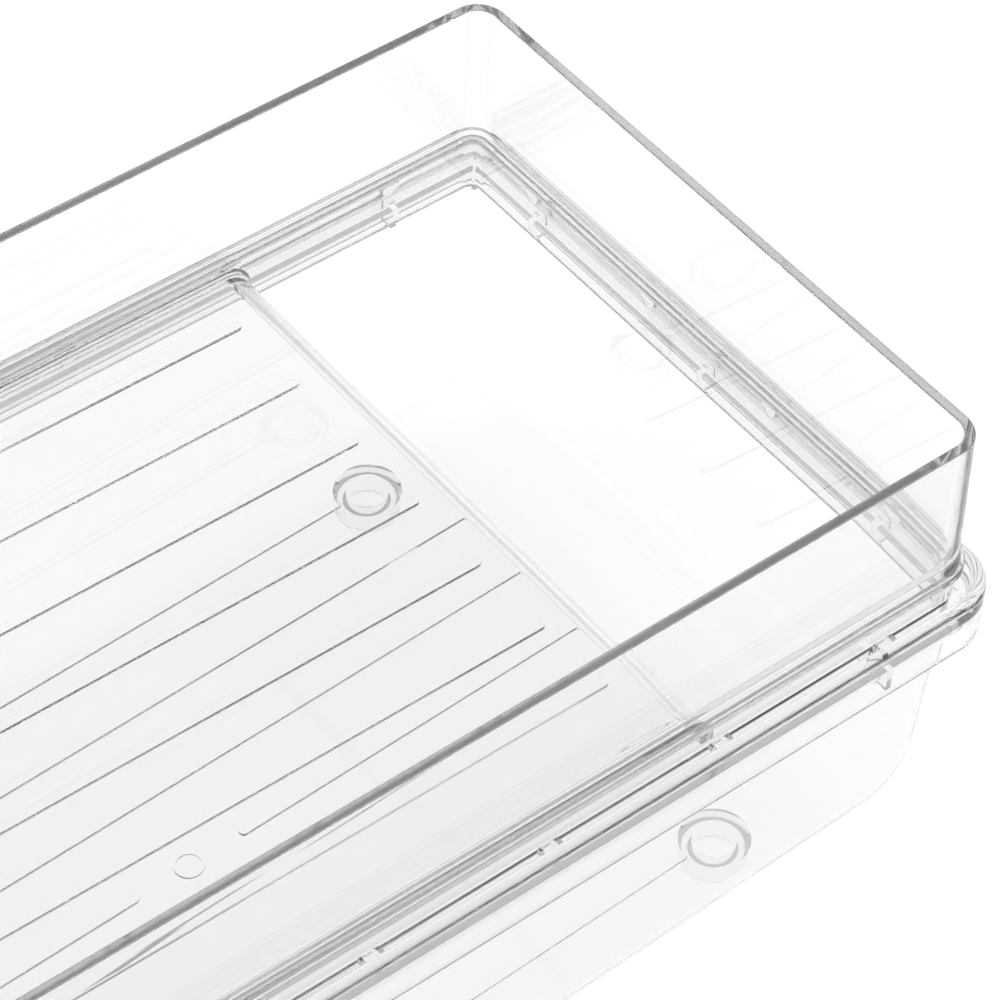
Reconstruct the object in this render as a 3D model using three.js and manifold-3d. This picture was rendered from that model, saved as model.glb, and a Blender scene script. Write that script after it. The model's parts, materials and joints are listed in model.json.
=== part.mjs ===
// Two-tier rolling can dispenser in clear moulded plastic.
// A lift-off upper tray stands on the top edge of a deeper lower tray. Cans roll back along the
// shelf of the upper tray, drop through the gap at its back, and roll forward in the lower tray.
//
// Both trays are built in the tray frame: x across, y = 0 near the back of the upper tray, front
// towards -y, and z = 0 on the ledge inside the lower tray's rim. The feet then lean the whole
// dispenser back.
import * as THREE from "three";
import { mergeVertices } from "three/addons/utils/BufferGeometryUtils.js";
import Module from "manifold-3d";

const wasm = await Module();
wasm.setup();

// Driving dimensions in millimetres, angles in degrees
const upperWidth = 172.8;
const upperLength = 288.8;
const upperWall = 2.4;
const upperTop = 49.3;
const upperBack = 0.4;
const upperCornerRadius = 7.5;
const outerDraft = 0.9;
const innerDraft = 0.7;
const seatGap = 0.3;
const flangeReach = 2.3;
const flangeDepth = 2.2;
const stepDepth = 2.4;
const spigotInset = 2.6;
const spigotWall = 2.2;
const spigotDepth = 4.5;

const shelfThickness = 2.4;
const shelfTop = 7.5;
const shelfSlope = 0.45;
const shelfFillet = 5.2;
const dropOpening = 66.8;
const noseRadius = 6.9;
const lipDrop = 1.5;
const shelfRibCount = 7;
const shelfRibPitch = 22.1;
const ribWidth = 2.5;
const ribHeight = 0.8;
const ribEndMargin = 5.7;

const lowerWall = 2.4;
const wallRise = 8;
const wallReach = 0.5;
const lowerCornerRadius = 8.4;
const pickUpOpening = 79.1;
const sideDraft = 4.6;
const endDraft = 2.3;
const floorThickness = 2.4;
const floorSlope = 3;
const floorDepth = 70.65;
const floorSideRadius = 6;
const floorEndRadius = 16;
const floorRibCount = 7;
const floorRibPitch = 21.7;
const floorRibEnd = 30;
const gateDistance = 147;
const gateDiameter = 7.3;
const gateHeight = 0.4;
const gateRibGap = 28;

const rimOverhang = 6.85;
const rimWidth = 3.3;
const rimRise = 4.5;
const rimCornerRadius = 12;
const ledgeThickness = 2.4;
const skirtWall = 2.2;
const skirtDepth = 14.9;
const lugWidth = 5.5;
const lugDepth = 1.6;
const lugLift = 0.5;
const sideLugPitch = 46;
const firstSideLug = 26;
const backLugPlaces = [21.5, 64.5];
const gussetThickness = 1.6;
const gussetDepth = 7.6;
const backGussetPitch = 62;

const footDiameter = 17;
const footTaper = 0.5;
const footBore = 10.4;
const footSpacing = 130.2;
const backFootDistance = 47.4;
const backFootHeight = 6.95;
const frontFootSetback = 37.5;
const frontFootHeight = 1.8;

const cornerSteps = 8;
const filletSteps = 6;
const boreSteps = 32;
const overrun = 1;

// Sizes that follow from the ones above
const upperHalf = upperWidth / 2;
const upperFront = upperBack - upperLength;
const seat = wallRise + seatGap;
const baseInset = spigotInset + spigotWall;
const bendStart = upperBack - baseInset - dropOpening - noseRadius;
const lowerHalf = upperHalf + wallReach;
const lowerBack = upperBack + wallReach;
const lowerFront = upperFront - pickUpOpening;
const frontFootDistance = -lowerFront - frontFootSetback;
const rimGrowth = rimOverhang - wallReach;
const skirtBottom = rimRise - skirtDepth;
const floorFall = Math.tan(THREE.MathUtils.degToRad(floorSlope));
const shelfAngle = THREE.MathUtils.degToRad(shelfSlope);

function floorTop(y) {
  return -floorDepth + floorFall * (y + backFootDistance);
}

// Turns a closed geometry into a solid that can be joined and cut
function solidOf(geometry) {
  geometry.deleteAttribute("normal");
  geometry.deleteAttribute("uv");
  const merged = mergeVertices(geometry);
  const mesh = new wasm.Mesh({
    numProp: 3,
    vertProperties: new Float32Array(merged.attributes.position.array),
    triVerts: new Uint32Array(merged.index.array),
  });
  return new wasm.Manifold(mesh);
}

function geometryOf(solid) {
  const mesh = solid.getMesh();
  const geometry = new THREE.BufferGeometry();
  geometry.setAttribute("position", new THREE.BufferAttribute(mesh.vertProperties, 3));
  geometry.setIndex(new THREE.BufferAttribute(mesh.triVerts, 1));
  geometry.computeVertexNormals();
  return geometry;
}

function joined(solids) {
  return solids.reduce((whole, piece) => whole.add(piece));
}

// A rounded rectangle, as points with the direction that the outline faces at each
function roundedOutline(half, back, front, radius) {
  const corners = [
    [half - radius, back - radius, 0],
    [-half + radius, back - radius, 1],
    [-half + radius, front + radius, 2],
    [half - radius, front + radius, 3],
  ];
  const points = [];
  for (const [x, y, quarter] of corners) {
    for (let step = 0; step <= cornerSteps; step += 1) {
      const angle = (quarter + step / cornerSteps) * (Math.PI / 2);
      points.push({ x: x + radius * Math.cos(angle), y: y + radius * Math.sin(angle), angle });
    }
  }
  return points;
}

// An outline round the top of the upper tray, moved in by an inset
function upperOutline(inset) {
  const radius = upperCornerRadius - inset;
  return roundedOutline(upperHalf - inset, upperBack - inset, upperFront + inset, radius);
}

// An outline round the lower tray's wall, moved out by a growth
function rimOutline(growth, radius) {
  return roundedOutline(lowerHalf + growth, lowerBack + growth, lowerFront - growth, radius);
}

function prism(outline, bottom, top) {
  const shape = new THREE.Shape(outline.map((point) => new THREE.Vector2(point.x, point.y)));
  const geometry = new THREE.ExtrudeGeometry(shape, { depth: top - bottom, bevelEnabled: false });
  return solidOf(geometry.translate(0, 0, bottom));
}

function wallRing(outer, inner, bottom, top) {
  return prism(outer, bottom, top).subtract(prism(inner, bottom - overrun, top + overrun));
}

function upright(diameter, height, x, y, bottom, taper = 0) {
  const geometry = new THREE.CylinderGeometry(diameter / 2, diameter / 2 - taper, height, boreSteps);
  return solidOf(geometry.rotateX(Math.PI / 2).translate(x, y, bottom + height / 2));
}

// Skins a stack of rings of the same count, first ring to last, and closes both ends
function loft(rings, outline) {
  const count = outline.length;
  const positions = rings.flat(2);
  const faces = [];
  for (let ring = 0; ring + 1 < rings.length; ring += 1) {
    for (let i = 0; i < count; i += 1) {
      const here = ring * count + i;
      const next = ring * count + ((i + 1) % count);
      faces.push(here, next + count, next, here, here + count, next + count);
    }
  }
  const flat = outline.map(([x, y]) => new THREE.Vector2(x, y));
  const last = (rings.length - 1) * count;
  for (const [a, b, c] of THREE.ShapeUtils.triangulateShape(flat, [])) {
    faces.push(a, b, c, last + a, last + c, last + b);
  }
  const geometry = new THREE.BufferGeometry();
  geometry.setAttribute("position", new THREE.Float32BufferAttribute(positions, 3));
  geometry.setIndex(faces);
  return solidOf(geometry);
}

// Carries a closed section, given as steps out from the outline and heights, once round the tray
function ringOf(section) {
  const rings = section.map(([out, z]) => upperOutline(-out).map((point) => [point.x, point.y, z]));
  const count = rings[0].length;
  const faces = [];
  for (let ring = 0; ring < rings.length; ring += 1) {
    const above = (ring + 1) % rings.length;
    for (let i = 0; i < count; i += 1) {
      const next = (i + 1) % count;
      faces.push(ring * count + i, ring * count + next, above * count + next);
      faces.push(ring * count + i, above * count + next, above * count + i);
    }
  }
  const geometry = new THREE.BufferGeometry();
  geometry.setAttribute("position", new THREE.Float32BufferAttribute(rings.flat(2), 3));
  geometry.setIndex(faces);
  return solidOf(geometry);
}

// The wall widens downwards to a flange that rests on the lower tray, and steps in to the spigot
function upperWalls() {
  const stepTop = seat + stepDepth;
  return ringOf([
    [flangeReach, seat],
    [flangeReach, seat + flangeDepth],
    [outerDraft, seat + flangeDepth],
    [0, upperTop],
    [-upperWall, upperTop],
    [-upperWall - innerDraft, stepTop],
    [-baseInset, stepTop],
    [-baseInset, -spigotDepth],
    [-spigotInset, -spigotDepth],
    [-spigotInset, seat],
  ]);
}

// The shelf's section across the tray: a plate whose edges sweep up into the side walls
function shelfSection() {
  const edge = upperHalf - upperWall;
  const foot = edge - innerDraft - shelfFillet;
  const right = [];
  for (let step = 0; step <= filletSteps; step += 1) {
    const angle = (step / filletSteps) * (Math.PI / 2);
    const across = foot + shelfFillet * Math.sin(angle);
    right.push([across, shelfFillet * (1 - Math.cos(angle))]);
  }
  const left = right.map(([across, rise]) => [-across, rise]);
  const under = [[-edge, -shelfThickness], [edge, -shelfThickness]];
  return [...right.reverse(), ...left, [-edge, shelfFillet], ...under, [edge, shelfFillet]];
}

// The shelf runs back from the front wall, rolls over its nose and ends in a short lip
function shelf() {
  const section = shelfSection();
  const straight = bendStart - upperFront - upperWall;
  const stations = [{ along: -straight, angle: shelfAngle }, { along: 0, angle: shelfAngle }];
  for (let step = 1; step <= filletSteps; step += 1) {
    stations.push({ along: 0, angle: shelfAngle - (step / filletSteps) * (Math.PI / 2) });
  }
  const centreZ = shelfTop - noseRadius;
  const rings = stations.map(({ along, angle }) => section.map(([x, rise]) => {
    const reach = noseRadius + rise;
    const y = bendStart - reach * Math.sin(angle) + along * Math.cos(angle);
    return [x, y, centreZ + reach * Math.cos(angle) + along * Math.sin(-angle)];
  }));
  rings.push(rings.at(-1).map(([x, y, z]) => [x, y, z - lipDrop]));
  return loft(rings, section);
}

// A low bar with round ends on a sloping plate, running from back to front of a pivot on its top
function rib(x, back, front, pivotY, pivotZ, angle, plateThickness) {
  const end = ribWidth / 2;
  const shape = new THREE.Shape();
  shape.absarc(0, back - end, end, 0, Math.PI, false);
  shape.absarc(0, front + end, end, Math.PI, 2 * Math.PI, false);
  const depth = ribHeight + plateThickness / 2;
  const settings = { depth, bevelEnabled: false, curveSegments: cornerSteps };
  const geometry = new THREE.ExtrudeGeometry(shape, settings);
  geometry.translate(0, 0, -plateThickness / 2).rotateX(angle).translate(x, pivotY, pivotZ);
  return solidOf(geometry);
}

function shelfRibs() {
  const front = upperFront + upperWall - bendStart;
  const ribs = [];
  for (let i = 0; i < shelfRibCount; i += 1) {
    const x = (i - (shelfRibCount - 1) / 2) * shelfRibPitch;
    ribs.push(rib(x, -ribEndMargin, front, bendStart, shelfTop, -shelfAngle, shelfThickness));
  }
  return ribs;
}

function upperTray() {
  const aroundSpigot = wallRing(upperOutline(-overrun), upperOutline(spigotInset), -upperTop, seat);
  const shelfInside = shelf().subtract(aroundSpigot);
  return joined([upperWalls(), shelfInside, ...shelfRibs()]);
}

// A trough form: straight drafted sides, wide rounded ends and a floor that slopes to the front
function troughForm(wall, top, floorZ) {
  const stations = [{ angle: 0, atTop: true }];
  for (let step = 0; step <= filletSteps; step += 1) {
    stations.push({ angle: (step / filletSteps) * (Math.PI / 2), atTop: false });
  }
  const radius = lowerCornerRadius - wall;
  const rings = stations.map(({ angle, atTop }) => {
    const turnIn = 1 - Math.cos(angle);
    const draft = atTop ? 0 : 1;
    const sideIn = wall + draft * sideDraft + (floorSideRadius - wall) * turnIn;
    const endIn = wall + draft * endDraft + (floorEndRadius - wall) * turnIn;
    const outline = roundedOutline(lowerHalf - sideIn, lowerBack - endIn, lowerFront + endIn, radius);
    return outline.map((point) => {
      const endShare = Math.sin(point.angle) ** 2;
      const bend = floorSideRadius + (floorEndRadius - floorSideRadius) * endShare - wall;
      return [point.x, point.y, atTop ? top : floorZ(point.y) + bend * (1 - Math.sin(angle))];
    });
  });
  return loft(rings, rings[0]);
}

// Round-bottomed lugs on the inner face of the rim
function lug(x, y, turn) {
  const half = lugWidth / 2;
  const shape = new THREE.Shape();
  shape.moveTo(half, rimRise);
  shape.lineTo(-half, rimRise);
  shape.lineTo(-half, lugLift + half);
  shape.absarc(0, lugLift + half, half, Math.PI, 2 * Math.PI, false);
  const depth = lugDepth + rimWidth / 2;
  const settings = { depth, bevelEnabled: false, curveSegments: cornerSteps };
  const geometry = new THREE.ExtrudeGeometry(shape, settings);
  geometry.rotateX(Math.PI / 2).translate(0, depth - lugDepth, 0);
  return solidOf(geometry.rotateZ(turn).translate(x, y, 0));
}

// Upright plates that stiffen the skirt against the wall, under the ledge
function gusset(x, y, turn, gap) {
  const reach = gap + (lowerWall + skirtWall) / 2;
  const plate = new THREE.BoxGeometry(gussetThickness, reach, gussetDepth);
  plate.translate(0, reach / 2 - lowerWall / 2, -ledgeThickness / 2 - gussetDepth / 2);
  return solidOf(plate.rotateZ(turn).translate(x, y, 0));
}

function rimDetails() {
  const inner = rimGrowth - rimWidth;
  const gap = rimGrowth - skirtWall;
  const cornerRound = (rimCornerRadius - lowerCornerRadius) * (Math.SQRT2 - 1);
  const cornerIn = lowerCornerRadius * (1 - Math.SQRT1_2);
  const pieces = [];
  for (const [side, turn] of [[1, -Math.PI / 2], [-1, Math.PI / 2]]) {
    for (let y = -firstSideLug; y > lowerFront + firstSideLug; y -= sideLugPitch) {
      pieces.push(lug(side * (lowerHalf + inner), y, turn));
    }
    for (const y of [-firstSideLug, lowerFront + firstSideLug]) {
      pieces.push(gusset(side * lowerHalf, y, turn, gap));
    }
    for (const x of backLugPlaces) {
      pieces.push(lug(side * x, lowerBack + inner, 0));
    }
    for (const [y, way] of [[lowerBack - cornerIn, 1], [lowerFront + cornerIn, 3]]) {
      const x = side * (lowerHalf - cornerIn);
      pieces.push(gusset(x, y, (-side * way * Math.PI) / 4, gap * Math.SQRT2 - cornerRound));
    }
  }
  for (const place of [-1, 0, 1]) {
    pieces.push(gusset(place * backGussetPitch, lowerBack, 0, gap));
    pieces.push(gusset(place * backGussetPitch, lowerFront, Math.PI, gap));
  }
  return pieces;
}

function floorRib(x, back, front) {
  return rib(x, 0, front - back, back, floorTop(back), Math.atan(floorFall), floorThickness);
}

// The outer ribs stop at the feet, and the middle one is broken round the gate mark
function floorRibs() {
  const front = lowerFront + floorEndRadius;
  const outer = (floorRibCount - 1) / 2;
  const ribs = [];
  for (let i = -outer; i <= outer; i += 1) {
    const x = i * floorRibPitch;
    if (i === 0) {
      ribs.push(floorRib(x, -floorRibEnd, -gateDistance + gateRibGap / 2));
      ribs.push(floorRib(x, -gateDistance - gateRibGap / 2, front));
    } else if (Math.abs(i) === outer) {
      ribs.push(floorRib(x, -backFootDistance - footDiameter / 2, -frontFootDistance + footDiameter / 2));
    } else {
      ribs.push(floorRib(x, -floorRibEnd, front));
    }
  }
  const gateBottom = floorTop(-gateDistance) - floorThickness / 2;
  ribs.push(upright(gateDiameter, gateHeight + floorThickness / 2, 0, -gateDistance, gateBottom));
  return ribs;
}

const feet = [
  { distance: backFootDistance, height: backFootHeight },
  { distance: frontFootDistance, height: frontFootHeight },
].map((foot) => ({ ...foot, bottom: floorTop(-foot.distance) - floorThickness - foot.height }));
const lean = Math.atan2(feet[0].bottom - feet[1].bottom, frontFootDistance - backFootDistance);
const footSpare = footDiameter * Math.sin(lean) + overrun;

// Everything below the surface that the feet stand on
function groundSlab() {
  const size = 2 * (upperLength + upperWidth);
  const slab = new THREE.BoxGeometry(size, size, upperTop).translate(0, 0, -upperTop / 2);
  return solidOf(slab.rotateX(lean).translate(0, -backFootDistance, feet[0].bottom));
}

function lowerTray() {
  const inner = rimGrowth - rimWidth;
  const rimInnerRadius = rimCornerRadius - rimWidth;
  const outer = rimOutline(rimGrowth, rimCornerRadius);
  const skirtInner = rimOutline(rimGrowth - skirtWall, rimCornerRadius - skirtWall);
  const opening = rimOutline(-lowerWall, lowerCornerRadius - lowerWall);
  const posts = [];
  const bores = [];
  for (const { distance, height, bottom } of feet) {
    for (const side of [-1, 1]) {
      const x = (side * footSpacing) / 2;
      const postHeight = height + floorThickness / 2 + footSpare;
      posts.push(upright(footDiameter, postHeight, x, -distance, bottom - footSpare, footTaper));
      bores.push(upright(footBore, height + footSpare, x, -distance, bottom - footSpare));
    }
  }
  const shell = joined([
    troughForm(0, -ledgeThickness / 2, (y) => floorTop(y) - floorThickness),
    wallRing(rimOutline(0, lowerCornerRadius), opening, -ledgeThickness, wallRise),
    wallRing(outer, opening, -ledgeThickness, 0),
    wallRing(outer, rimOutline(inner, rimInnerRadius), -ledgeThickness, rimRise),
    wallRing(outer, skirtInner, skirtBottom, 0),
    ...posts,
  ]);
  const hollow = shell.subtract(troughForm(lowerWall, overrun, floorTop));
  const fitted = joined([hollow, ...floorRibs(), ...rimDetails()]);
  return fitted.subtract(joined([groundSlab(), ...bores]));
}

function clearPlastic(color) {
  return new THREE.MeshStandardMaterial({
    color,
    roughness: 0.04,
    metalness: 0,
    transparent: true,
    opacity: 0.35,
  });
}

function namedMesh(name, solid, color) {
  const mesh = new THREE.Mesh(geometryOf(solid), clearPlastic(color));
  mesh.name = name;
  return mesh;
}

const trays = new THREE.Group();
trays.add(namedMesh("lower_tray", lowerTray(), 0xeef1f2));
trays.add(namedMesh("upper_tray", upperTray(), 0xf3f5f6));
trays.rotation.x = -lean;

// The dispenser stands on its feet at z = 0, centred over the origin
const dispenser = new THREE.Group();
dispenser.add(trays);
dispenser.updateMatrixWorld(true);
const extent = new THREE.Box3().setFromObject(dispenser, true);
const centre = extent.getCenter(new THREE.Vector3());
trays.position.set(-centre.x, -centre.y, -extent.min.z);

export default dispenser;
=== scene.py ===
import json
from math import atan, cos, pi, radians, sin, sqrt, tan

import bmesh
import bpy
from mathutils import Matrix, Vector


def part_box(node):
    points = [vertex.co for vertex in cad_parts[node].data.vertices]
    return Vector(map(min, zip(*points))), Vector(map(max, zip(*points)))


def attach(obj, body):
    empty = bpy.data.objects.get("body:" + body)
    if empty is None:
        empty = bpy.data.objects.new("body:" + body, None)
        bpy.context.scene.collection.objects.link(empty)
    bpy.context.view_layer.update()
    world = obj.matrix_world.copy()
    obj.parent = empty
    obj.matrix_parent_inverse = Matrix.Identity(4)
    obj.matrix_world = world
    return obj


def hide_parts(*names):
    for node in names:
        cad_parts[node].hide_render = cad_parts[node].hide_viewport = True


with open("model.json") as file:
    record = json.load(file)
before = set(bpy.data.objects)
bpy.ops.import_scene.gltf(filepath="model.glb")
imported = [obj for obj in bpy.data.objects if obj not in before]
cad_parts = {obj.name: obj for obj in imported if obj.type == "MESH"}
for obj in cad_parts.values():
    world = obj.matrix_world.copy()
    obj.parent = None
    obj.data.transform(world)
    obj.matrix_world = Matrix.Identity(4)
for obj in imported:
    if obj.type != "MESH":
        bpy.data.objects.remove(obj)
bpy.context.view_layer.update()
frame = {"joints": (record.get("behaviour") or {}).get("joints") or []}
mm = 0.001
near = 0.01 * mm  # places closer than this are the same
mergeDistance = 0.005 * mm
almostHalf = 0.98  # keeps two neighbouring roundings from meeting in one point

# How finely each kind of rounding is divided
segments = {
    "corner": 40,
    "floorSide": 24,
    "shelfFillet": 24,
    "nose": 24,
    "lip": 8,
    "wallEdge": 6,
    "ribEnd": 10,
    "ribEdge": 5,
    "lugArc": 12,
    "lugEdge": 5,
    "gateEdge": 4,
    "round": 72,
    "footEdge": 10,
}

# Both trays are modelled in the tray frame: y = 0 at the back face of the upper tray, front
# towards -y, and z = 0 on the ledge. The feet then lean the dispenser back.
upperTray = {
    "width": 172.8 * mm,
    "length": 288.8 * mm,
    "back": 0.4 * mm,
    "top": 49.3 * mm,
    "wall": 2.4 * mm,
    "cornerRadius": 7.5 * mm,
    "outerDraft": 0.9 * mm,
    "innerDraft": 0.7 * mm,
    "seatGap": 0.3 * mm,
    "lipRadius": 0.3 * mm,
    "flangeReach": 2.3 * mm,
    "flangeDepth": 2.2 * mm,
    "stepDepth": 2.4 * mm,
    "spigotInset": 2.6 * mm,
    "spigotWall": 2.2 * mm,
    "spigotEnd": -4.5 * mm,
    "rounding": 0.5 * mm,
}

shelf = {
    "top": 7.5 * mm,
    "thickness": 2.4 * mm,
    "fillet": 5.2 * mm,
    "slope": radians(0.45),
    "dropOpening": 66.8 * mm,
    "noseRadius": 6.9 * mm,
    "lipDrop": 1.5 * mm,
    "lipRadius": 1.1 * mm,
    "ribPitch": 22.1 * mm,
    "ribCount": 7,
    "ribEndMargin": 5.7 * mm,
}

rib = {
    "width": 2.5 * mm,
    "height": 0.8 * mm,
    "edgeRadius": 0.28 * mm,
}

lowerTray = {
    "inset": -0.5 * mm,
    "rise": 8 * mm,
    "wall": 2.4 * mm,
    "cornerRadius": 8.4 * mm,
    "pickUpOpening": 79.1 * mm,
    "sideDraft": 4.6 * mm,
    "endDraft": 2.3 * mm,
    "floorThickness": 2.4 * mm,
    "floorSlope": radians(3),
    "floorDepth": 70.65 * mm,
    "floorPlace": 47.4 * mm,
    "endRadius": 16 * mm,
    "sideRadius": 6.4 * mm,
    "ribPitch": 21.7 * mm,
    "ribCount": 7,
    "ribEnd": 30 * mm,
    "draftDepth": 1.2,  # the taper stops this far down, in floor depths
}

gate = {
    "distance": 147 * mm,
    "diameter": 7.3 * mm,
    "height": 0.4 * mm,
    "edgeRadius": 0.13 * mm,
    "dishWall": 0.6 * mm,
    "dishDepth": 0.35 * mm,
    "ribGap": 28 * mm,
}

rim = {
    "overhang": 6.85 * mm,
    "width": 3.3 * mm,
    "rise": 4.5 * mm,
    "cornerRadius": 12 * mm,
    "ledge": 2.4 * mm,
    "skirtWall": 2.2 * mm,
    "skirtDepth": 14.9 * mm,
    "edgeRadius": 0.6 * mm,
    "topRadius": 1.5 * mm,
    "fillet": 1.5 * mm,
}

lug = {
    "width": 5.5 * mm,
    "depth": 1.6 * mm,
    "lift": 0.5 * mm,
    "topGap": 0.35 * mm,
    "edgeRadius": 0.6 * mm,
    "sidePitch": 46 * mm,
    "firstSide": 26 * mm,
    "backPlaces": (21.5 * mm, 64.5 * mm),
}

gusset = {"thickness": 1.6 * mm, "depth": 7.6 * mm, "backPitch": 62 * mm}

foot = {
    "diameter": 17 * mm,
    "taper": 0.5 * mm,
    "bore": 10.4 * mm,
    "spacing": 130.2 * mm,
    "backDistance": 47.4 * mm,
    "backHeight": 6.95 * mm,
    "frontSetback": 37.5 * mm,
    "frontHeight": 1.8 * mm,
    "edgeRadius": 1.5 * mm,
}

view = {
    "azimuth": radians(49.568),
    "elevation": radians(47.82),
    "roll": radians(3.035),
    "distance": 927.01 * mm,
    "target": (7.34 * mm, -66.45 * mm, 2.8 * mm),
    "lens": 151.19,
    "clipStart": 10 * mm,
}

# Places that follow from the sizes above
upperHalf = upperTray["width"] / 2
lowerHalf = upperHalf - lowerTray["inset"]
upperBack = upperTray["back"]
upperFront = upperBack - upperTray["length"]
lowerBack = upperBack - lowerTray["inset"]
lowerFront = upperFront - lowerTray["pickUpOpening"]
rimGrowth = rim["overhang"] + lowerTray["inset"]
spigotFace = upperTray["spigotInset"] + upperTray["spigotWall"]
seat = lowerTray["rise"] + upperTray["seatGap"]
bendStart = upperBack - spigotFace - shelf["dropOpening"] - shelf["noseRadius"]
floorFall = tan(lowerTray["floorSlope"])


def floorTop(y):
    return floorFall * (y + lowerTray["floorPlace"]) - lowerTray["floorDepth"]


# The joint's axis is square to the ledge, so it gives the lean
liftAxis = Vector(frame["joints"][0]["axis"])
lean = atan(liftAxis.y / liftAxis.z)
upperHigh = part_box("upper_tray")[1]
wallTop = upperTray["top"]
flangeBack = upperBack + upperTray["flangeReach"]
flangeTop = seat + upperTray["flangeDepth"]
trayOrigin = Vector((
    0,
    upperHigh.y - flangeBack * cos(lean) - flangeTop * sin(lean),
    upperHigh.z + upperFront * sin(lean) - wallTop * cos(lean),
))
toGround = Matrix.Translation(trayOrigin) @ Matrix.Rotation(-lean, 4, "X")


def addCamera():
    across = Vector((cos(view["azimuth"]), sin(view["azimuth"]), 0))
    back = Vector((
        sin(view["azimuth"]) * cos(view["elevation"]),
        -cos(view["azimuth"]) * cos(view["elevation"]),
        sin(view["elevation"]),
    ))
    level = Matrix((across, back.cross(across), back)).transposed()
    turned = Matrix.Rotation(view["roll"], 3, back) @ level
    place = Vector(view["target"]) + back * view["distance"]
    camera = bpy.data.objects.new("camera", bpy.data.cameras.new("camera"))
    camera.data.lens = view["lens"]
    camera.data.clip_start = view["clipStart"]
    camera.matrix_world = toGround @ Matrix.Translation(place) @ turned.to_4x4()
    bpy.context.scene.collection.objects.link(camera)
    bpy.context.scene.camera = camera


addCamera()
print("camera set")


def newPiece(name, bm):
    mesh = bpy.data.meshes.new(name)
    bm.to_mesh(mesh)
    bm.free()
    piece = bpy.data.objects.new(name, mesh)
    bpy.context.scene.collection.objects.link(piece)
    return piece


def merged(bm):
    bmesh.ops.remove_doubles(bm, verts=bm.verts, dist=mergeDistance)
    bmesh.ops.recalc_face_normals(bm, faces=bm.faces)
    return bm


def together(parts):
    whole = bmesh.new()
    for part in parts:
        mesh = bpy.data.meshes.new("part")
        part.to_mesh(mesh)
        part.free()
        whole.from_mesh(mesh)
        bpy.data.meshes.remove(mesh)
    return whole


def bevelEdges(bm, edges, radius, steps):
    bmesh.ops.bevel(bm, geom=edges, offset=radius, offset_type="OFFSET", segments=steps, profile=0.5,
                    affect="EDGES", material=-1, clamp_overlap=False)


# Rounds the corners of an outline, given as (across, up, radius), and returns its points in order
def roundedOutline(corners, steps):
    bm = bmesh.new()
    verts = [bm.verts.new((across, 0, up)) for across, up, radius in corners]
    bm.faces.new(verts)
    for vert, (across, up, radius) in zip(verts, corners):
        if radius:
            bmesh.ops.bevel(bm, geom=[vert], offset=radius, offset_type="OFFSET", segments=steps,
                            profile=0.5, affect="VERTICES", material=-1, clamp_overlap=False)
    face = bm.faces[:][0]
    points = [(v.co.x, v.co.z) for v in face.verts]
    bm.free()
    return points


def drawLoop(bm, points):
    verts = [bm.verts.new(point) for point in points]
    edges = [bm.edges.new((verts[i - 1], verts[i])) for i in range(len(verts))]
    return verts + edges


def extrude(bm, geom, offset):
    edges = [e for e in geom if isinstance(e, bmesh.types.BMEdge)]
    made = bmesh.ops.extrude_edge_only(bm, edges=edges)["geom"]
    verts = [v for v in made if isinstance(v, bmesh.types.BMVert)]
    bmesh.ops.translate(bm, verts=verts, vec=offset)
    fresh = set(verts)
    return verts + [e for e in made if isinstance(e, bmesh.types.BMEdge) and set(e.verts) <= fresh]


def spin(bm, geom, centre, axis, angle, steps):
    return bmesh.ops.spin(bm, geom=geom, cent=centre, axis=axis, angle=angle, steps=steps)["geom_last"]


def capLoop(bm, geom):
    bmesh.ops.contextual_create(bm, geom=[e for e in geom if isinstance(e, bmesh.types.BMEdge)])


# Carries a closed section (out from the outline, up) once round a rounded rectangle
def ringFrom(section, half, back, front, radius):
    bm = bmesh.new()
    geom = drawLoop(bm, [(half + out, front + radius, up) for out, up in section])
    width, length = 2 * (half - radius), back - front - 2 * radius
    corners = (
        ((0, length, 0), (half - radius, back - radius, 0)),
        ((-width, 0, 0), (radius - half, back - radius, 0)),
        ((0, -length, 0), (radius - half, front + radius, 0)),
        ((width, 0, 0), (half - radius, front + radius, 0)),
    )
    for run, centre in corners:
        geom = extrude(bm, geom, run)
        geom = spin(bm, geom, centre, (0, 0, 1), pi / 2, segments["corner"])
    return merged(bm)


# Joins or cuts closed solids, each one watertight
def combine(piece, bm, operation):
    tool = newPiece("tool", bm)
    modifier = piece.modifiers.new("combine", "BOOLEAN")
    modifier.operation = operation
    modifier.solver = "MANIFOLD"
    modifier.object = tool
    graph = bpy.context.evaluated_depsgraph_get()
    old = piece.data
    piece.data = bpy.data.meshes.new_from_object(piece.evaluated_get(graph))
    piece.modifiers.clear()
    bpy.data.meshes.remove(old)
    bpy.data.objects.remove(tool)


# A low bar with round ends, on a slope through the pivot
def ribBar(x, back, front, pivotY, pivotZ, angle, plate):
    bm = bmesh.new()
    end = rib["width"] / 2
    bottom = -plate / 2
    top = rib["height"]
    bmesh.ops.create_cube(bm, size=1)
    bmesh.ops.scale(bm, vec=(rib["width"], back - front, top - bottom), verts=bm.verts)
    bmesh.ops.translate(bm, vec=(0, (back + front) / 2, (top + bottom) / 2), verts=bm.verts)
    uprights = [e for e in bm.edges if abs(e.verts[0].co.z - e.verts[1].co.z) > rib["height"]]
    bevelEdges(bm, uprights, end * almostHalf, segments["ribEnd"])
    rimEdges = [e for e in bm.edges if all(abs(v.co.z - top) < rib["height"] / 2 for v in e.verts)]
    bevelEdges(bm, rimEdges, rib["edgeRadius"], segments["ribEdge"])
    bmesh.ops.rotate(bm, cent=(0, 0, 0), matrix=Matrix.Rotation(angle, 3, "X"), verts=bm.verts)
    bmesh.ops.translate(bm, vec=(x, pivotY, pivotZ), verts=bm.verts)
    return merged(bm)


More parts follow.
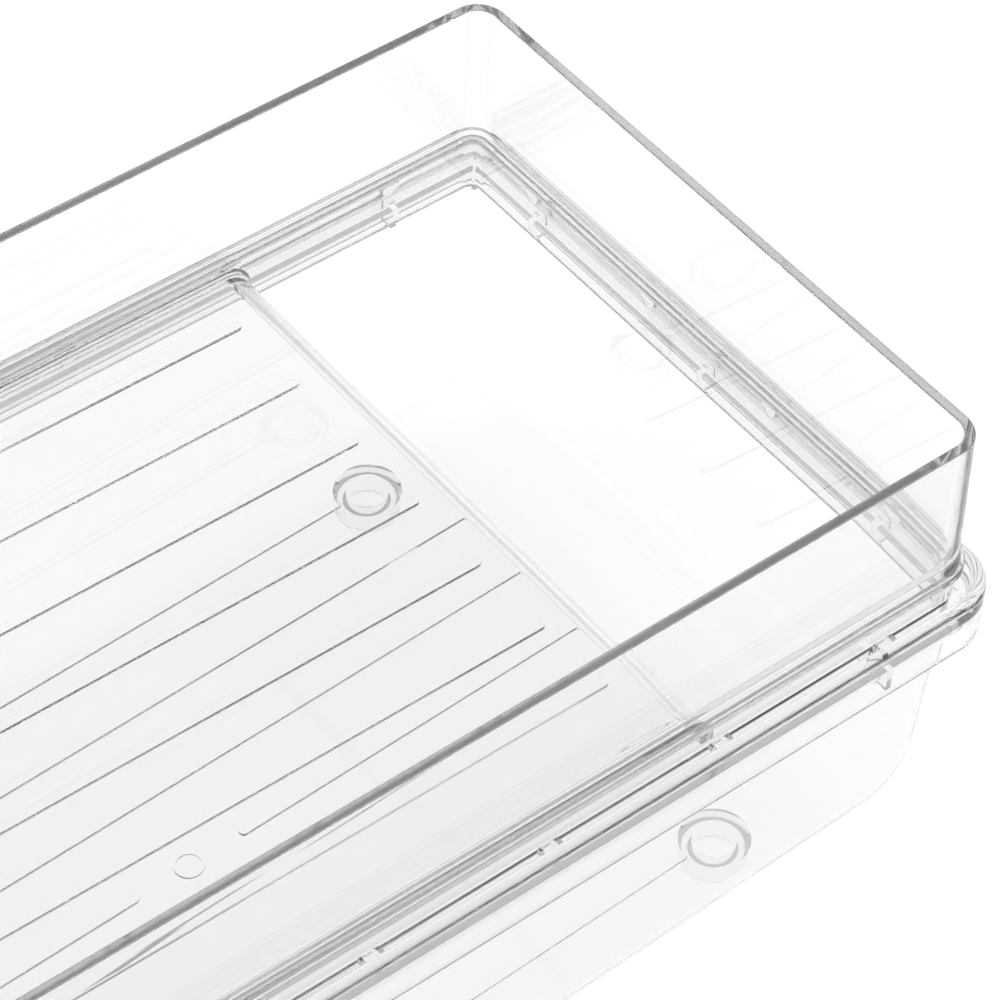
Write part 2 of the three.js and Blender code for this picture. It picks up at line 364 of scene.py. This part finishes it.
def upperWalls():
    inner = -upperTray["wall"] - upperTray["innerDraft"]
    outer = upperTray["outerDraft"]
    step = seat + upperTray["stepDepth"]
    lip = upperTray["lipRadius"]
    soft = upperTray["rounding"]
    section = roundedOutline([
        (upperTray["flangeReach"], seat, soft),
        (upperTray["flangeReach"], flangeTop, soft),
        (outer, flangeTop, soft),
        (0, wallTop, lip),
        (-upperTray["wall"], wallTop, lip),
        (inner, step, soft),
        (-spigotFace, step, soft),
        (-spigotFace, upperTray["spigotEnd"], soft),
        (-upperTray["spigotInset"], upperTray["spigotEnd"], soft),
        (-upperTray["spigotInset"], seat, 0),
    ], segments["wallEdge"])
    return ringFrom(section, upperHalf, upperBack, upperFront, upperTray["cornerRadius"])


# The shelf's plate sweeps up into both side walls and rolls over its nose
def shelfPlate():
    bm = bmesh.new()
    edge = upperHalf - upperTray["wall"]
    rise = shelf["fillet"]
    side = edge - upperTray["innerDraft"]
    corners = [
        (-edge, -shelf["thickness"], 0),
        (edge, -shelf["thickness"], 0),
        (edge, rise, 0),
        (side, rise, 0),
        (side, 0, rise),
        (-side, 0, rise),
        (-side, rise, 0),
        (-edge, rise, 0),
    ]
    section = roundedOutline(corners, segments["shelfFillet"])
    geom = drawLoop(bm, [(across, bendStart, shelf["top"] + up) for across, up in section])
    noseCentre = (0, bendStart, shelf["top"] - shelf["noseRadius"])
    bmesh.ops.rotate(bm, cent=noseCentre, matrix=Matrix.Rotation(-shelf["slope"], 3, "X"), verts=bm.verts)
    run = bendStart - upperFront - upperTray["wall"]
    far = extrude(bm, geom, (0, -run * cos(shelf["slope"]), run * sin(shelf["slope"])))
    capLoop(bm, far)
    geom = spin(bm, geom, noseCentre, (1, 0, 0), shelf["slope"] - pi / 2, segments["nose"])
    capLoop(bm, extrude(bm, geom, (0, 0, -shelf["lipDrop"])))
    low = min(v.co.z for v in bm.verts)
    lip = [e for e in bm.edges if all(v.co.z < low + near for v in e.verts) and e.calc_length() > side]
    bevelEdges(bm, lip, shelf["lipRadius"], segments["lip"])
    return merged(bm)


# The space round the spigot, which the ends of the shelf must leave free
def aroundSpigot():
    inner, outer = -upperTray["spigotInset"], upperTray["flangeReach"]
    section = [(outer, -wallTop), (outer, seat), (inner, seat), (inner, -wallTop)]
    return ringFrom(section, upperHalf, upperBack, upperFront, upperTray["cornerRadius"])


def shelfRibs():
    bars = []
    for i in range(shelf["ribCount"]):
        x = (i - (shelf["ribCount"] - 1) / 2) * shelf["ribPitch"]
        front = upperFront + upperTray["wall"] - bendStart
        bars.append(ribBar(x, -shelf["ribEndMargin"], front, bendStart, shelf["top"], -shelf["slope"],
                           shelf["thickness"]))
    return together(bars)


def buildUpperTray():
    piece = newPiece("upper_tray_moulding", shelfPlate())
    combine(piece, aroundSpigot(), "DIFFERENCE")
    combine(piece, upperWalls(), "UNION")
    combine(piece, shelfRibs(), "UNION")
    return piece


# A closed block with drafted sides and rounded lower edges, the trough's outside or its hollow
def troughBlock(inset, top, thickness):
    bm = bmesh.new()
    half, back, front = lowerHalf - inset, lowerBack - inset, lowerFront + inset
    bmesh.ops.create_cube(bm, size=1)
    bmesh.ops.scale(bm, vec=(2 * half, back - front, 1), verts=bm.verts)
    bmesh.ops.translate(bm, vec=(0, (back + front) / 2, 0), verts=bm.verts)
    for v in bm.verts:
        v.co.z = top if v.co.z > 0 else floorTop(v.co.y) - thickness
    low = [e for e in bm.edges if all(v.co.z < top - mm for v in e.verts)]
    ends = [e for e in low if abs(e.verts[0].co.x - e.verts[1].co.x) > half]
    bevelEdges(bm, ends, lowerTray["endRadius"] - inset, segments["corner"])
    sides = [e for e in bm.edges
             if any(v.co.z < top - mm for v in e.verts) and abs(e.verts[0].co.x - e.verts[1].co.x) < mm
             and abs(abs(e.verts[0].co.x) - half) < near]
    bevelEdges(bm, sides, lowerTray["sideRadius"] - inset, segments["floorSide"])
    centre = (back + front) / 2
    for v in bm.verts:
        share = min(max(-v.co.z / lowerTray["floorDepth"], 0), lowerTray["draftDepth"])
        v.co.x *= 1 - lowerTray["sideDraft"] * share / half
        v.co.y = centre + (v.co.y - centre) * (1 - lowerTray["endDraft"] * share / (back - centre))
    return merged(bm)


def rimRing():
    inner = rimGrowth - rim["width"]
    bottom = rim["rise"] - rim["skirtDepth"]
    wallMiddle = -lowerTray["wall"] / 2
    skirtInner = rimGrowth - rim["skirtWall"]
    corners = [
        (wallMiddle, 0, 0),
        (wallMiddle, -rim["ledge"], 0),
        (skirtInner, -rim["ledge"], rim["fillet"]),
        (skirtInner, bottom, rim["edgeRadius"]),
        (rimGrowth, bottom, rim["edgeRadius"]),
        (rimGrowth, rim["rise"], rim["topRadius"]),
        (inner, rim["rise"], rim["topRadius"]),
        (inner, 0, rim["fillet"]),
    ]
    section = [(out - rimGrowth, up) for out, up in roundedOutline(corners, segments["wallEdge"])]
    return ringFrom(section, lowerHalf + rimGrowth, lowerBack + rimGrowth, lowerFront - rimGrowth,
                    rim["cornerRadius"])


def placed(bm, turn, x, y):
    bmesh.ops.rotate(bm, cent=(0, 0, 0), matrix=Matrix.Rotation(turn, 3, "Z"), verts=bm.verts)
    bmesh.ops.translate(bm, vec=(x, y, 0), verts=bm.verts)
    return merged(bm)


# A tab with a half-round bottom on the rim's inner face; it sinks into the rim behind it
def rimLug(x, y, turn):
    bm = bmesh.new()
    half = lug["width"] / 2
    geom = drawLoop(bm, [(across, 0, up) for across, up in roundedOutline([
        (half, rim["rise"] - lug["topGap"], 0),
        (-half, rim["rise"] - lug["topGap"], 0),
        (-half, lug["lift"], half * almostHalf),
        (half, lug["lift"], half * almostHalf),
    ], segments["lugArc"])])
    capLoop(bm, geom)
    bmesh.ops.translate(bm, vec=(0, -lug["depth"], 0), verts=bm.verts)
    capLoop(bm, extrude(bm, geom, (0, lug["depth"] + rim["width"] / 2, 0)))
    merged(bm)
    face = [e for e in bm.edges if all(abs(v.co.y + lug["depth"]) < near for v in e.verts)]
    bevelEdges(bm, face, lug["edgeRadius"], segments["lugEdge"])
    return placed(bm, turn, x, y)


def skirtGusset(x, y, turn, gap):
    bm = bmesh.new()
    reach = gap + (lowerTray["wall"] + rim["skirtWall"]) / 2
    bmesh.ops.create_cube(bm, size=1)
    bmesh.ops.scale(bm, vec=(gusset["thickness"], reach, gusset["depth"]), verts=bm.verts)
    bmesh.ops.translate(bm, vec=(0, (reach - lowerTray["wall"]) / 2, -(rim["ledge"] + gusset["depth"]) / 2),
                        verts=bm.verts)
    return placed(bm, turn, x, y)


def rimDetails():
    inner = rimGrowth - rim["width"]
    gap = rimGrowth - rim["skirtWall"]
    cornerRound = (rim["cornerRadius"] - lowerTray["cornerRadius"]) * (sqrt(2) - 1)
    cornerIn = lowerTray["cornerRadius"] * (1 - sqrt(0.5))
    parts = []
    for side in (1, -1):
        y = -lug["firstSide"]
        while y > lowerFront + lug["firstSide"]:
            parts.append(rimLug(side * (lowerHalf + inner), y, -side * pi / 2))
            y -= lug["sidePitch"]
        for y in (-lug["firstSide"], lowerFront + lug["firstSide"]):
            parts.append(skirtGusset(side * lowerHalf, y, -side * pi / 2, gap))
        for x in lug["backPlaces"]:
            parts.append(rimLug(side * x, lowerBack + inner, 0))
        for y, way in ((lowerBack - cornerIn, 1), (lowerFront + cornerIn, 3)):
            parts.append(skirtGusset(side * (lowerHalf - cornerIn), y, -side * way * pi / 4,
                                     gap * sqrt(2) - cornerRound))
    for place in (-1, 0, 1):
        parts.append(skirtGusset(place * gusset["backPitch"], lowerBack, 0, gap))
        parts.append(skirtGusset(place * gusset["backPitch"], lowerFront, pi, gap))
    return together(parts)


def floorBar(x, back, front):
    return ribBar(x, 0, front - back, back, floorTop(back), lowerTray["floorSlope"],
                  lowerTray["floorThickness"])


# A low disc with a shallow dish in its top
def gateDisc():
    bm = bmesh.new()
    outer, top = gate["diameter"] / 2, gate["height"]
    bottom, dish = -lowerTray["floorThickness"] / 2, top - gate["dishDepth"]
    section = roundedOutline([
        (outer, bottom, 0),
        (outer, top, gate["edgeRadius"]),
        (outer - gate["dishWall"], top, gate["edgeRadius"]),
        (outer - gate["dishWall"], dish, 0),
    ], segments["gateEdge"])
    points = [(0, 0, bottom)] + [(across, 0, up) for across, up in section] + [(0, 0, dish)]
    verts = [bm.verts.new(point) for point in points]
    edges = [bm.edges.new(pair) for pair in zip(verts, verts[1:])]
    bmesh.ops.spin(bm, geom=verts + edges, cent=(0, 0, 0), axis=(0, 0, 1), angle=2 * pi,
                   steps=segments["round"], use_merge=True)
    bmesh.ops.translate(bm, vec=(0, -gate["distance"], floorTop(-gate["distance"])), verts=bm.verts)
    return merged(bm)


# The outer ribs stop at the feet, and the middle one is broken round the gate mark
def floorDetails():
    outer = (lowerTray["ribCount"] - 1) // 2
    front = lowerFront + lowerTray["endRadius"]
    backEnd = -foot["backDistance"] - foot["diameter"] / 2
    frontEnd = lowerFront + foot["frontSetback"] + foot["diameter"] / 2
    parts = [gateDisc()]
    for i in range(-outer, outer + 1):
        x = i * lowerTray["ribPitch"]
        if i == 0:
            parts.append(floorBar(x, -lowerTray["ribEnd"], -gate["distance"] + gate["ribGap"] / 2))
            parts.append(floorBar(x, -gate["distance"] - gate["ribGap"] / 2, front))
        elif abs(i) == outer:
            parts.append(floorBar(x, backEnd, frontEnd))
        else:
            parts.append(floorBar(x, -lowerTray["ribEnd"], front))
    return together(parts)


# Hollow feet: a tube under the floor, whose lower end is cut to the surface it stands on
def footTube(x, y, height):
    bm = bmesh.new()
    outer, bore = foot["diameter"] / 2, foot["bore"] / 2
    underside = floorTop(y) - lowerTray["floorThickness"]
    top = lowerTray["floorThickness"] / 2
    section = roundedOutline([
        (outer, top, 0),
        (outer - foot["taper"], -height, foot["edgeRadius"]),
        (bore, -height, foot["edgeRadius"]),
        (bore, top, 0),
    ], segments["footEdge"])
    geom = drawLoop(bm, [(across, 0, up) for across, up in section])
    bmesh.ops.spin(bm, geom=geom, cent=(0, 0, 0), axis=(0, 0, 1), angle=2 * pi,
                   steps=segments["round"], use_merge=True)
    for v in bm.verts:
        if v.co.z < -height / 2:
            v.co.z += tan(lean) * v.co.y
    bmesh.ops.translate(bm, vec=(x, y, underside), verts=bm.verts)
    return merged(bm)


def feet():
    frontY = lowerFront + foot["frontSetback"]
    places = ((-foot["backDistance"], foot["backHeight"]), (frontY, foot["frontHeight"]))
    return together([footTube(side * foot["spacing"] / 2, y, height)
                     for y, height in places for side in (-1, 1)])


def buildLowerTray():
    piece = newPiece("lower_tray_moulding", troughBlock(0, lowerTray["rise"], lowerTray["floorThickness"]))
    combine(piece, rimRing(), "UNION")
    combine(piece, feet(), "UNION")
    combine(piece, troughBlock(lowerTray["wall"], lowerTray["rise"] + mm, 0), "DIFFERENCE")
    combine(piece, floorDetails(), "UNION")
    combine(piece, rimDetails(), "UNION")
    return piece


# sRGB hex to linear, by the standard's own curve
def linear(hexColour):
    channels = [int(hexColour[i:i + 2], 16) / 255 for i in (1, 3, 5)]
    return [c / 12.92 if c <= 0.04045 else ((c + 0.055) / 1.055) ** 2.4 for c in channels] + [1]


# A link's name is the input's name, or an underscore and the input's number
def addNode(tree, kind, settings=None, **links):
    node = tree.nodes.new(kind)
    for name, value in (settings or {}).items():
        if isinstance(name, str) and hasattr(node, name):
            setattr(node, name, value)
        else:
            node.inputs[name].default_value = value
    for name, source in links.items():
        tree.links.new(source, node.inputs[int(name[1:]) if name[0] == "_" else name])
    return node


plastic = {
    "tint": "#ffffff",  # colourless styrene
    "shadowTint": "#f6f7f7",
    "ior": 1.57,
    "satin": 0.14,  # the top edge and the flange keep the mould's matt parting faces
    "satinHeights": ((9.4 * mm, 1.3 * mm), (49.3 * mm, 0.5 * mm)),  # flange, top edge: middle, reach
    "clearShare": 0.975,  # the rest scatters at the surface, which greys light caught in the walls
    "lossPerMetre": 7.5,  # long paths inside the walls come out grey
    "sharpAngle": radians(28),
    "faceWeight": 100,  # flat faces keep their own direction beside a small rounding
}


# Clear injection-moulded styrene: polished mould faces, so it is glossy and bends what is behind it
def clearStyrene():
    material = bpy.data.materials.new("clearStyrene")
    material.use_nodes = True
    tree = material.node_tree
    tree.nodes.clear()
    place = addNode(tree, "ShaderNodeTexCoord")
    height = addNode(tree, "ShaderNodeVectorMath", {"operation": "DOT_PRODUCT", 1: liftAxis},
                     _0=place.outputs["Object"])
    ledge = trayOrigin.dot(liftAxis)
    bands = [addNode(tree, "ShaderNodeMath", {"operation": "COMPARE", 1: level + ledge, 2: reach},
                     _0=height.outputs["Value"]) for level, reach in plastic["satinHeights"]]
    # Only the flange is satin at its height, so the shelf inside the walls stays polished
    middle = toGround @ Vector((0, (upperBack + upperFront) / 2, seat))
    fromMiddle = addNode(tree, "ShaderNodeVectorMath", {"operation": "SUBTRACT", 1: middle},
                         _0=place.outputs["Object"])
    away = addNode(tree, "ShaderNodeVectorMath", {"operation": "ABSOLUTE"}, _0=fromMiddle.outputs[0])
    split = addNode(tree, "ShaderNodeSeparateXYZ", None, Vector=away.outputs[0])
    sideFace = upperHalf + upperTray["outerDraft"]
    endFace = (upperBack - upperFront) / 2 + upperTray["outerDraft"]
    beside = addNode(tree, "ShaderNodeMath", {"operation": "GREATER_THAN", 1: sideFace},
                     _0=split.outputs["X"])
    beyond = addNode(tree, "ShaderNodeMath", {"operation": "GREATER_THAN", 1: endFace},
                     _0=split.outputs["Y"])
    outside = addNode(tree, "ShaderNodeMath", {"operation": "MAXIMUM"},
                      _0=beside.outputs[0], _1=beyond.outputs[0])
    flange = addNode(tree, "ShaderNodeMath", {"operation": "MULTIPLY"},
                     _0=bands[0].outputs[0], _1=outside.outputs[0])
    either = addNode(tree, "ShaderNodeMath", {"operation": "ADD"},
                     _0=flange.outputs[0], _1=bands[1].outputs[0])
    matt = addNode(tree, "ShaderNodeMath", {"operation": "MULTIPLY", 1: plastic["satin"]},
                   _0=either.outputs[0])
    body = addNode(tree, "ShaderNodeBsdfPrincipled", {
        "Base Color": linear(plastic["tint"]),
        "IOR": plastic["ior"],
        "Transmission Weight": plastic["clearShare"],
    }, Roughness=matt.outputs[0])
    passed = addNode(tree, "ShaderNodeBsdfTransparent", {"Color": linear(plastic["shadowTint"])})
    path = addNode(tree, "ShaderNodeLightPath")
    mixed = addNode(tree, "ShaderNodeMixShader", None, _0=path.outputs["Is Shadow Ray"],
                    _1=body.outputs[0], _2=passed.outputs[0])
    inside = addNode(tree, "ShaderNodeVolumeAbsorption", {
        "Color": [0, 0, 0, 1],
        "Density": plastic["lossPerMetre"],
    })
    addNode(tree, "ShaderNodeOutputMaterial", None, Surface=mixed.outputs[0], Volume=inside.outputs[0])
    return material


def finishTray(piece, body, node, material):
    piece.data.transform(toGround)
    piece.data.materials.clear()
    piece.data.materials.append(material)
    piece.data.shade_smooth()
    piece.data.set_sharp_from_angle(angle=plastic["sharpAngle"])
    even = piece.modifiers.new("evenNormals", "WEIGHTED_NORMAL")
    even.weight = plastic["faceWeight"]
    even.keep_sharp = True
    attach(piece, body)
    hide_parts(node)


upperPiece = buildUpperTray()
print("upper tray built", len(upperPiece.data.polygons))
lowerPiece = buildLowerTray()
print("lower tray built", len(lowerPiece.data.polygons))
styrene = clearStyrene()
finishTray(upperPiece, "upper_tray", "upper_tray", styrene)
finishTray(lowerPiece, "lower_tray", "lower_tray", styrene)

studio = {
    "floorReach": 6,
    "floorColour": "#ffffff",
    "floorGlow": 0.9,
    "floorShare": 0.15,
    "lightSide": (-0.76, 0.65, 0),  # the far side of the object, away from the camera
    "farSky": 0.65,
    "nearSky": 0.5,
    "skyTurn": (-0.6, 0.5),  # from the near side to the far one
    "skyEdge": (0.0, 0.45),  # how high the white surroundings fade into the ceiling
    "lamps": (
        ("softbox_left", (-1.2, -0.6, 1.5), (1.2, 0.9), 30),
        ("softbox_back", (0.5, 1.4, 1.3), (1.4, 0.7), 24),
    ),
    "clearBounces": 64,
    "shadowBounces": 16,
}


# Matt white paper: white to the eye and through the plastic, and it keeps the object's shadow
def addFloor():
    bm = bmesh.new()
    bmesh.ops.create_grid(bm, x_segments=1, y_segments=1, size=studio["floorReach"])
    floor = newPiece("floor", bm)
    material = bpy.data.materials.new("paleFloor")
    material.use_nodes = True
    tree = material.node_tree
    tree.nodes.clear()
    path = addNode(tree, "ShaderNodeLightPath")
    seen = addNode(tree, "ShaderNodeMath", {"operation": "MAXIMUM"}, _0=path.outputs["Is Camera Ray"],
                   _1=path.outputs["Is Transmission Ray"])
    seenToo = addNode(tree, "ShaderNodeMath", {"operation": "MAXIMUM"}, _0=seen.outputs[0],
                      _1=path.outputs["Is Glossy Ray"])
    glow = addNode(tree, "ShaderNodeMath", {"operation": "MULTIPLY", 1: studio["floorGlow"]},
                   _0=seenToo.outputs[0])
    matt = addNode(tree, "ShaderNodeBsdfDiffuse", {"Color": [studio["floorShare"]] * 3 + [1]})
    light = addNode(tree, "ShaderNodeEmission", {"Color": linear(studio["floorColour"])},
                    Strength=glow.outputs[0])
    both = addNode(tree, "ShaderNodeAddShader", None, _0=matt.outputs[0], _1=light.outputs[0])
    addNode(tree, "ShaderNodeOutputMaterial", None, Surface=both.outputs[0])
    floor.data.materials.append(material)


def addWorld():
    world = bpy.data.worlds.new("studio")
    world.use_nodes = True
    bpy.context.scene.world = world
    tree = world.node_tree
    tree.nodes.clear()
    place = addNode(tree, "ShaderNodeTexCoord")
    split = addNode(tree, "ShaderNodeSeparateXYZ", None, Vector=place.outputs["Generated"])
    side = addNode(tree, "ShaderNodeVectorMath", {"operation": "DOT_PRODUCT", 1: studio["lightSide"]},
                   _0=place.outputs["Generated"])
    nearEnd, farEnd = studio["skyTurn"]
    ceiling = addNode(tree, "ShaderNodeMapRange", {
        "interpolation_type": "SMOOTHSTEP", "From Min": nearEnd, "From Max": farEnd,
        "To Min": studio["nearSky"], "To Max": studio["farSky"],
    }, Value=side.outputs["Value"])
    low, high = studio["skyEdge"]
    ramp = addNode(tree, "ShaderNodeMapRange", {"interpolation_type": "SMOOTHSTEP", "From Min": low,
                                                "From Max": high, "To Min": 1.0},
                   Value=split.outputs["Z"], _4=ceiling.outputs[0])
    path = addNode(tree, "ShaderNodeLightPath")
    strength = addNode(tree, "ShaderNodeMath", {"operation": "MAXIMUM"}, _0=ramp.outputs[0],
                       _1=path.outputs["Is Camera Ray"])
    background = addNode(tree, "ShaderNodeBackground", None, Strength=strength.outputs[0])
    addNode(tree, "ShaderNodeOutputWorld", None, Surface=background.outputs[0])


def addLamp(name, place, size, power):
    lamp = bpy.data.lights.new(name, "AREA")
    lamp.shape = "RECTANGLE"
    lamp.size, lamp.size_y = size
    lamp.energy = power
    holder = bpy.data.objects.new(name, lamp)
    holder.location = place
    holder.rotation_euler = (-Vector(place)).to_track_quat("-Z", "Y").to_euler()
    holder.visible_camera = holder.visible_glossy = holder.visible_transmission = False
    bpy.context.scene.collection.objects.link(holder)


addFloor()
addWorld()
for lampSettings in studio["lamps"]:
    addLamp(*lampSettings)

scene = bpy.context.scene
scene.view_settings.view_transform = "Standard"
scene.cycles.max_bounces = studio["clearBounces"]
scene.cycles.transmission_bounces = studio["clearBounces"]
scene.cycles.glossy_bounces = studio["clearBounces"]
scene.cycles.transparent_max_bounces = studio["shadowBounces"]
scene.cycles.caustics_reflective = False
scene.cycles.caustics_refractive = False
scene.cycles.use_denoising = True
print("stage set")
